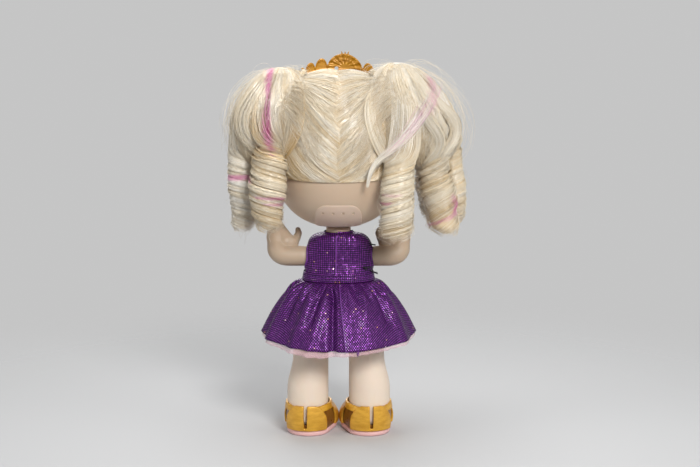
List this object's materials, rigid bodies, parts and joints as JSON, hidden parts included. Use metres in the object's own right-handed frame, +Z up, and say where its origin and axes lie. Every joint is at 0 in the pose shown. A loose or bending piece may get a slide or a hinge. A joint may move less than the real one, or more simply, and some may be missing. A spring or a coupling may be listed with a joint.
{
  "type": "miniature doll",
  "caption": "Small standing vinyl doll with a turning head, swinging arms and legs, rooted hair in high bunches of ringlets, a tiara, a gathered sleeveless dress and strapped shoes.",
  "frame": {"origin": "on the ground under the middle of the whole doll's box", "axes": "+Z up, the doll faces -Y, and its left side is towards +X"},
  "size_m": [0.1002, 0.0632, 0.1628],
  "materials": {
    "skin": "satin peach vinyl",
    "panel": "satin rosy vinyl",
    "hair": "glossy pale blonde rooted fibre with pink streaks",
    "hair_tie": "matt band",
    "tiara_gold": "amber gold moulding",
    "dress": "purple cloth with fine shiny dots",
    "tulle": "sheer pink net",
    "tape": "napped closure tape",
    "shoe_gold": "pearly gold",
    "sole": "satin pink"
  },
  "bodies": {
    "torso": {"torso_front_shell": "skin", "torso_rear_shell": "skin", "neck_post": "skin", "bodice_front": "dress", "bodice_back_left": "dress", "bodice_back_right": "dress", "closure_loop_tape": "tape", "closure_hook_tape": "tape", "waistband": "dress", "skirt": "dress", "underskirt": "tulle"},
    "head": {"head_shell": "skin", "nape_panel": "panel", "scalp_hair": "hair", "tiara": "tiara_gold", "hair_bunch_left": "hair", "hair_bunch_right": "hair", "hair_tie_left": "hair_tie", "hair_tie_right": "hair_tie", "ringlet_left_inner": "hair", "ringlet_left_outer": "hair", "ringlet_left_front": "hair", "ringlet_right_inner": "hair", "ringlet_right_middle": "hair", "ringlet_right_outer": "hair", "ringlet_right_front": "hair"},
    "arm_left": {"arm_left": "skin"},
    "arm_right": {"arm_right": "skin"},
    "leg_left": {"leg_left": "skin", "shoe_upper_left": "shoe_gold", "shoe_sole_left": "sole"},
    "leg_right": {"leg_right": "skin", "shoe_upper_right": "shoe_gold", "shoe_sole_right": "sole"}
  },
  "joints": [
    {"name": "head_turn", "type": "hinge", "parent": "torso", "child": "head", "pos_m": [0.00378, -0.00147, 0.0892], "axis": [0, 0, 1], "continuous": true},
    {"name": "arm_left_swing", "type": "hinge", "parent": "torso", "child": "arm_left", "pos_m": [0.01648, -0.00147, 0.077], "axis": [1, 0, 0], "range_deg": [-60, 115]},
    {"name": "arm_right_swing", "type": "hinge", "parent": "torso", "child": "arm_right", "pos_m": [-0.00892, -0.00147, 0.077], "axis": [1, 0, 0], "range_deg": [-60, 115]},
    {"name": "leg_left_swing", "type": "hinge", "parent": "torso", "child": "leg_left", "pos_m": [0.01208, -0.00147, 0.052], "axis": [1, 0, 0], "range_deg": [-40, 40]},
    {"name": "leg_right_swing", "type": "hinge", "parent": "torso", "child": "leg_right", "pos_m": [-0.00452, -0.00147, 0.052], "axis": [1, 0, 0], "range_deg": [-40, 40]}
  ]
}
